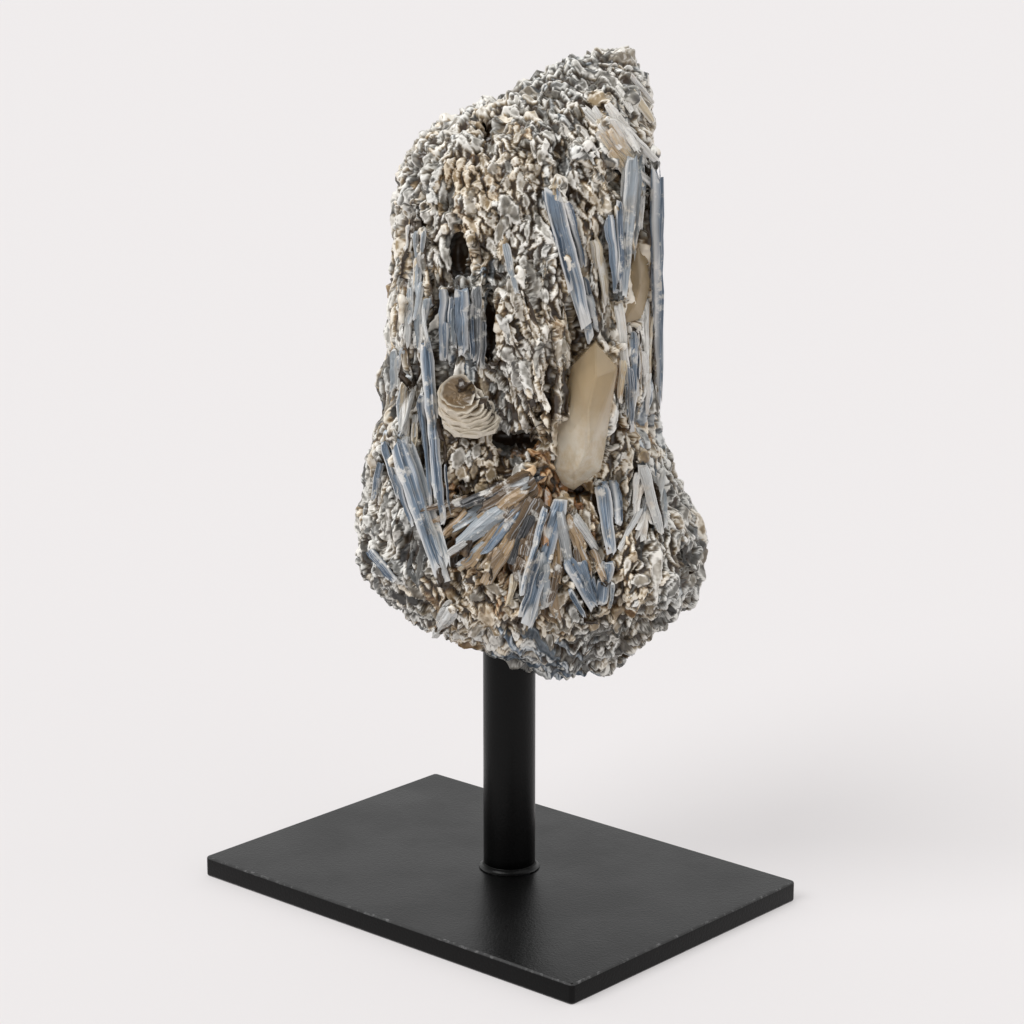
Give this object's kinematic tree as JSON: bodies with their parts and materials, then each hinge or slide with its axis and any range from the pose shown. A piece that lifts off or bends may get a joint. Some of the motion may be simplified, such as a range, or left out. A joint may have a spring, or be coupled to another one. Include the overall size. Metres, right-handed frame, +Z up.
{
  "type": "kyanite blade cluster on a stand",
  "caption": "Upright lump of grey and blue kyanite blades with clear quartz, held on a black steel rod welded to a flat rectangular plate, for display on a shelf or table.",
  "frame": {"origin": "centre of the plate's underside, which rests on a shelf or table", "axes": "+Z up, +X along the plate's long side, +Y towards the back"},
  "size_m": [0.15, 0.1064, 0.2555],
  "materials": {
    "kyanite": "grey, white and blue blades with tan stains, semi-glossy on the broad faces",
    "black_coat": "semi-gloss black powder coat with a fine orange-peel texture"
  },
  "bodies": {
    "root": {"kyanite_stone": "kyanite", "rod": "black_coat", "weld_bead": "black_coat", "base_plate": "black_coat"}
  },
  "joints": []
}
